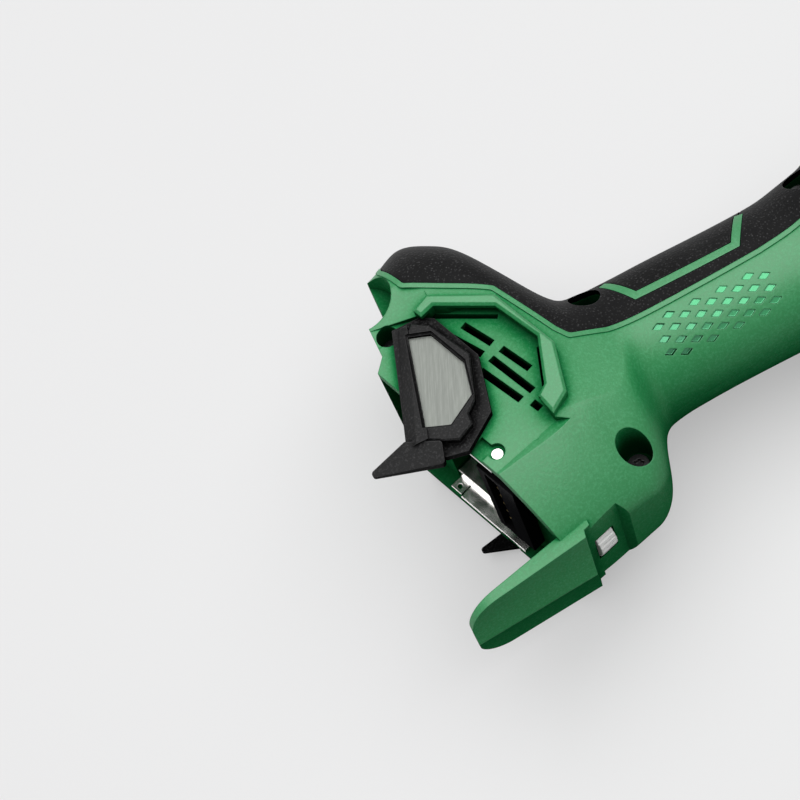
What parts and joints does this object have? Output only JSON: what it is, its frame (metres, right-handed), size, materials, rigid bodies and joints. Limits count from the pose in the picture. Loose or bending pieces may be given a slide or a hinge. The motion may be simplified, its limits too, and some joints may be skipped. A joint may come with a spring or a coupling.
{
  "type": "cordless die grinder",
  "caption": "Slim straight die grinder without its battery: collet nose, motor barrel, grip, and a slanted tail with slide-out dust filters, a speed dial and a battery pocket.",
  "frame": {"origin": "on the spindle axis at the mouth of the collet bore", "axes": "+X forward along the spindle and out of the collet, +Y to the soft-grip side, +Z to the tool's right flank, which is up as it lies"},
  "size_m": [0.3876, 0.1279, 0.078],
  "materials": {
    "green_plastic": "fine moulded grain",
    "soft_grip": "fine leather-like grain",
    "filter_black": "fine moulded grain",
    "mesh_steel": "fine woven mesh",
    "dial_white": "moulded ribs",
    "black_steel": "black oxide",
    "bright_steel": "plated sheet",
    "machined_steel": "turned and ground",
    "terminal_plastic": "moulded",
    "terminal_brass": "stamped",
    "cast_aluminium": "fine cast",
    "board_resin": "potted board",
    "lead_insulation": "insulated wire",
    "black_plastic": "moulded",
    "white_plastic": "moulded",
    "core_steel": "laminated",
    "copper_wire": "wound enamelled wire",
    "felt": "pressed felt",
    "black_rubber": "moulded ribs"
  },
  "bodies": {
    "housing": {"housing_right": "green_plastic", "housing_left": "green_plastic", "housing_screws": "black_steel", "grip_cover_right": "soft_grip", "grip_cover_left": "soft_grip", "grip_pad_right": "soft_grip", "grip_pad_left": "soft_grip", "dial_pot": "black_plastic", "battery_rail_right": "bright_steel", "battery_rail_left": "bright_steel", "terminal_block": "terminal_plastic", "terminals": "terminal_brass", "controller_tray": "black_plastic", "controller_board": "board_resin", "motor_leads": "lead_insulation", "switch_body": "black_plastic", "motor_housing": "green_plastic", "stator_core": "core_steel", "stator_insulators": "white_plastic", "stator_windings": "copper_wire", "sensor_board": "board_resin", "motor_front_bearing": "machined_steel", "motor_rear_bearing": "machined_steel", "rear_bearing_bush": "black_rubber", "bearing_bracket": "cast_aluminium", "nose_housing": "cast_aluminium", "nose_boot": "black_rubber", "nose_screws": "black_steel", "front_cap": "machined_steel", "dust_seal": "felt", "front_spindle_bearing": "machined_steel", "back_spindle_bearing": "machined_steel"},
    "rotor": {"spindle": "machined_steel", "coupling_sleeve": "machined_steel", "rotor_shaft": "machined_steel", "rotor_core": "core_steel", "cooling_fan": "black_plastic"},
    "collet": {"collet": "machined_steel"},
    "collet_nut": {"collet_nut": "black_steel"},
    "switch": {"switch_knob": "black_plastic", "switch_link": "machined_steel", "switch_slider": "white_plastic"},
    "speed_dial": {"speed_dial": "dial_white"},
    "filter_right": {"filter_frame_right": "filter_black", "filter_mesh_right": "mesh_steel"},
    "filter_left": {"filter_frame_left": "filter_black", "filter_mesh_left": "mesh_steel"}
  },
  "joints": [
    {"name": "rotor_spin", "type": "hinge", "parent": "housing", "child": "rotor", "pos_m": [0, 0, 0], "axis": [1, 0, 0], "continuous": true},
    {"name": "collet_draw", "type": "slide", "parent": "rotor", "child": "collet", "axis": [1, 0, 0], "range_m": [0, 0.002]},
    {"name": "collet_nut_turn", "type": "hinge", "parent": "collet", "child": "collet_nut", "pos_m": [0, 0, 0], "axis": [1, 0, 0], "range_deg": [0, 720]},
    {"name": "switch_slide", "type": "slide", "parent": "housing", "child": "switch", "axis": [1, 0, 0], "range_m": [0, 0.008]},
    {"name": "speed_dial_turn", "type": "hinge", "parent": "housing", "child": "speed_dial", "pos_m": [-0.3374, -0.0454, 0], "axis": [0.9505, 0.3107, 0], "range_deg": [-135, 135]},
    {"name": "filter_right_draw", "type": "slide", "parent": "housing", "child": "filter_right", "axis": [-0.9715, 0.2368, 0], "range_m": [-0.0196, 0.03]},
    {"name": "filter_left_draw", "type": "slide", "parent": "housing", "child": "filter_left", "axis": [-0.9715, 0.2368, 0], "range_m": [0, 0.0496]}
  ],
  "couplings": [
    {"joint": "collet_nut_turn", "follows": "collet_draw", "rad_per_m": 6283}
  ]
}
